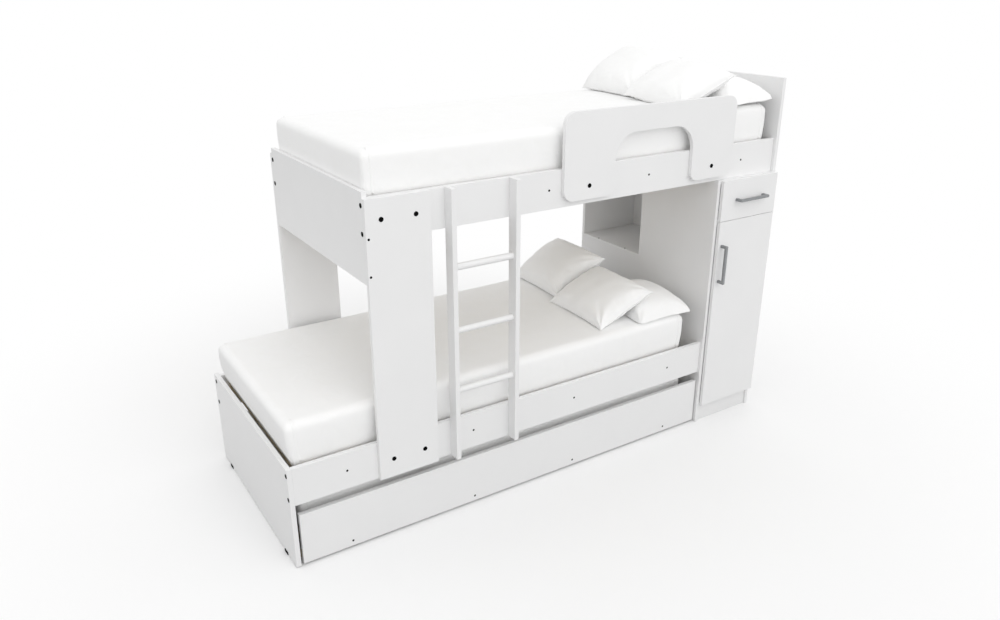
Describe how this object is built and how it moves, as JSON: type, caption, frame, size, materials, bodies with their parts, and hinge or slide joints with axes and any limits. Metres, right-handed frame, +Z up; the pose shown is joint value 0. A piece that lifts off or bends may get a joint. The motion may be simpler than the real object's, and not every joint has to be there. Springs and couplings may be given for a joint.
{
  "type": "bunk bed",
  "caption": "Bunk bed with offset upper bed, ladder, arched guardrail, wardrobe with drawer and open niche, and a rolling trundle bed under the lower bed.",
  "frame": {"origin": "on the floor, under the middle of the bounding box", "axes": "+X along the beds towards the wardrobe, +Y from the ladder side to the wall side, +Z up"},
  "size_m": [2.2697, 0.937, 1.6208],
  "materials": {
    "white_board": "white melamine, satin",
    "raw_wood": "sanded pine",
    "thin_board": "white hardboard",
    "bedding": "white cotton",
    "black_fasteners": "black",
    "black_plastic": "matte",
    "wheel_plastic": "matte",
    "satin_handle": "satin",
    "steel": "zinc plated"
  },
  "bodies": {
    "frame": {"end_board": "white_board", "floor_glides": "black_plastic", "lower_front_rail": "white_board", "lower_back_rail": "white_board", "front_leg": "white_board", "back_leg": "white_board", "footboard": "white_board", "upper_front_rail": "white_board", "upper_back_rail": "white_board", "headboard": "white_board", "guardrail": "white_board", "ladder_left_stile": "white_board", "ladder_right_stile": "white_board", "ladder_rungs": "white_board", "lower_ledgers": "raw_wood", "upper_ledgers": "raw_wood", "lower_slats": "raw_wood", "upper_slats": "raw_wood", "connector_bolts": "black_fasteners", "frame_screws": "black_fasteners", "cabinet_left_side": "white_board", "cabinet_right_side": "white_board", "cabinet_top": "white_board", "cabinet_back": "white_board", "cabinet_bottom": "white_board", "cabinet_plinth": "white_board", "niche_floor": "white_board", "niche_divider": "white_board", "drawer_deck": "white_board", "closet_shelf": "white_board", "shelf_pins": "steel", "drawer_runners": "steel", "hinge_arms": "steel", "lower_mattress": "bedding", "upper_mattress": "bedding", "lower_back_cushion": "bedding", "lower_middle_cushion": "bedding", "lower_front_cushion": "bedding", "upper_back_cushion": "bedding", "upper_middle_cushion": "bedding", "upper_front_cushion": "bedding"},
    "drawer": {"drawer_front": "white_board", "drawer_sides": "white_board", "drawer_back": "white_board", "drawer_bottom": "thin_board", "drawer_slides": "steel", "drawer_handle": "satin_handle"},
    "door": {"door_panel": "white_board", "door_handle": "satin_handle", "hinge_cups": "steel"},
    "trundle": {"trundle_front": "white_board", "trundle_back": "white_board", "trundle_crossbars": "raw_wood", "trundle_ledgers": "raw_wood", "trundle_slats": "raw_wood", "trundle_mattress": "bedding", "trundle_screws": "black_fasteners", "caster_forks": "steel"},
    "front_wheel_row": {"front_wheels": "wheel_plastic"},
    "back_wheel_row": {"back_wheels": "wheel_plastic"}
  },
  "joints": [
    {"name": "trundle_slide", "type": "slide", "parent": "frame", "child": "trundle", "axis": [0, -1, 0], "range_m": [0, 0.86]},
    {"name": "front_wheel_spin", "type": "hinge", "parent": "trundle", "child": "front_wheel_row", "pos_m": [-0.163, -0.3267, 0.019], "axis": [1, 0, 0], "continuous": true},
    {"name": "back_wheel_spin", "type": "hinge", "parent": "trundle", "child": "back_wheel_row", "pos_m": [-0.163, 0.3713, 0.019], "axis": [1, 0, 0], "continuous": true},
    {"name": "drawer_slide", "type": "slide", "parent": "frame", "child": "drawer", "axis": [0, -1, 0], "range_m": [0, 0.3]},
    {"name": "door_hinge", "type": "hinge", "parent": "frame", "child": "door", "pos_m": [1.132, -0.4345, 0.5], "axis": [0, 0, 1], "range_deg": [0, 105]}
  ],
  "couplings": [
    {"joint": "front_wheel_spin", "follows": "trundle_slide", "rad_per_m": 52.632},
    {"joint": "back_wheel_spin", "follows": "trundle_slide", "rad_per_m": 52.632}
  ]
}
